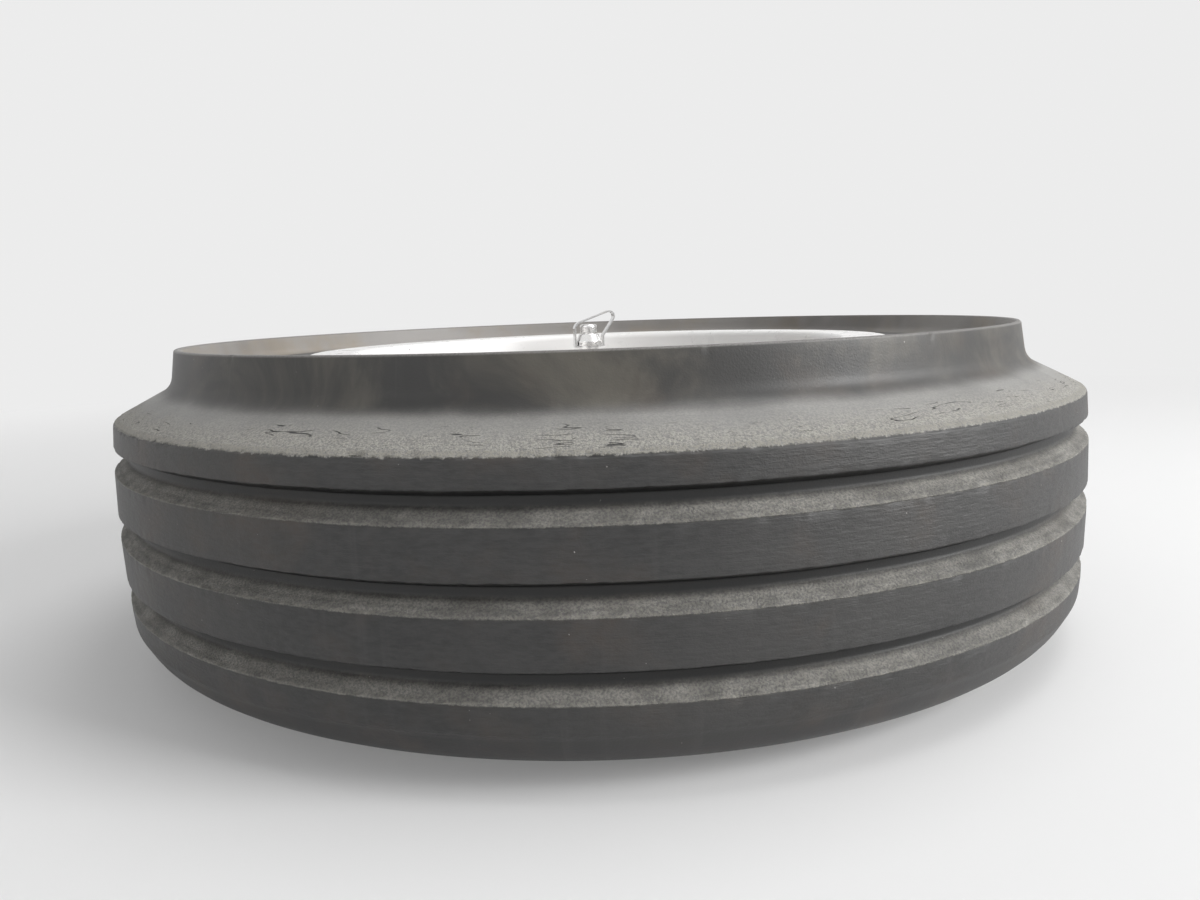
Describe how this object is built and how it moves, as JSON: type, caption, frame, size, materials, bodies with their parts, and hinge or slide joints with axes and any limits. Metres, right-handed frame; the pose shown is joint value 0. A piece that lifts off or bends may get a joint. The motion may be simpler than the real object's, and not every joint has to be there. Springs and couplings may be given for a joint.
{
  "type": "aircraft nose wheel and tyre",
  "caption": "Bolted split wheel with a chined grooved tyre, tapered roller bearings, grease seals and an inflation valve with a cap loop, lying on its side.",
  "frame": {"origin": "on the wheel's axis, at the ground plane that the lower sidewall rests on", "axes": "+Z along the axle, up through the chined outboard side; the valve stands near +Y"},
  "size_m": [0.4539, 0.4538, 0.1448],
  "materials": {
    "tyre_rubber": "aged matt rubber, gritty on the shoulder",
    "wheel_paint": "white gloss enamel over a light alloy casting",
    "seal_rubber": "moulded, satin",
    "plated_steel": "dull plated",
    "bearing_steel": "ground, with grease",
    "cage_steel": "pressed, satin",
    "spring_steel": "dark phosphated",
    "valve_metal": "bright plated",
    "core_brass": "turned",
    "strip_steel": "bright rolled strip"
  },
  "bodies": {
    "wheel": {"tyre": "tyre_rubber", "outboard_wheel_half": "wheel_paint", "inboard_wheel_half": "wheel_paint", "wheel_half_seal": "seal_rubber", "tie_bolts": "plated_steel", "bolt_washers": "plated_steel", "nut_washers": "plated_steel", "tie_nuts": "plated_steel", "outboard_bearing_cup": "bearing_steel", "outboard_grease_seal": "seal_rubber", "outboard_retaining_ring": "spring_steel", "inboard_bearing_cup": "bearing_steel", "inboard_grease_seal": "seal_rubber", "inboard_retaining_ring": "spring_steel", "valve_stem": "valve_metal", "valve_gasket": "seal_rubber", "valve_core": "core_brass", "valve_collar": "valve_metal", "valve_cap": "valve_metal", "valve_cap_loop": "strip_steel"},
    "outboard_cone": {"outboard_bearing_cone": "bearing_steel"},
    "outboard_roller_set": {"outboard_bearing_cage": "cage_steel", "outboard_bearing_rollers": "bearing_steel"},
    "inboard_cone": {"inboard_bearing_cone": "bearing_steel"},
    "inboard_roller_set": {"inboard_bearing_cage": "cage_steel", "inboard_bearing_rollers": "bearing_steel"},
    "core_pin": {"valve_core_pin": "core_brass"}
  },
  "joints": [
    {"name": "outboard_cone_spin", "type": "hinge", "parent": "wheel", "child": "outboard_cone", "pos_m": [0, 0, 0.0925], "axis": [0, 0, 1], "continuous": true},
    {"name": "outboard_cage_spin", "type": "hinge", "parent": "wheel", "child": "outboard_roller_set", "pos_m": [0, 0, 0.0922], "axis": [0, 0, 1], "continuous": true},
    {"name": "inboard_cone_spin", "type": "hinge", "parent": "wheel", "child": "inboard_cone", "pos_m": [0, 0, 0.0387], "axis": [0, 0, 1], "continuous": true},
    {"name": "inboard_cage_spin", "type": "hinge", "parent": "wheel", "child": "inboard_roller_set", "pos_m": [0, 0, 0.039], "axis": [0, 0, 1], "continuous": true},
    {"name": "valve_core_press", "type": "slide", "parent": "wheel", "child": "core_pin", "axis": [0, 0, -1], "range_m": [0, 0.001], "stiffness_N_per_m": 1500, "springref_m": -0.001}
  ],
  "couplings": [
    {"joint": "outboard_cage_spin", "follows": "outboard_cone_spin", "ratio": 0.43534},
    {"joint": "inboard_cage_spin", "follows": "inboard_cone_spin", "ratio": 0.43534}
  ]
}
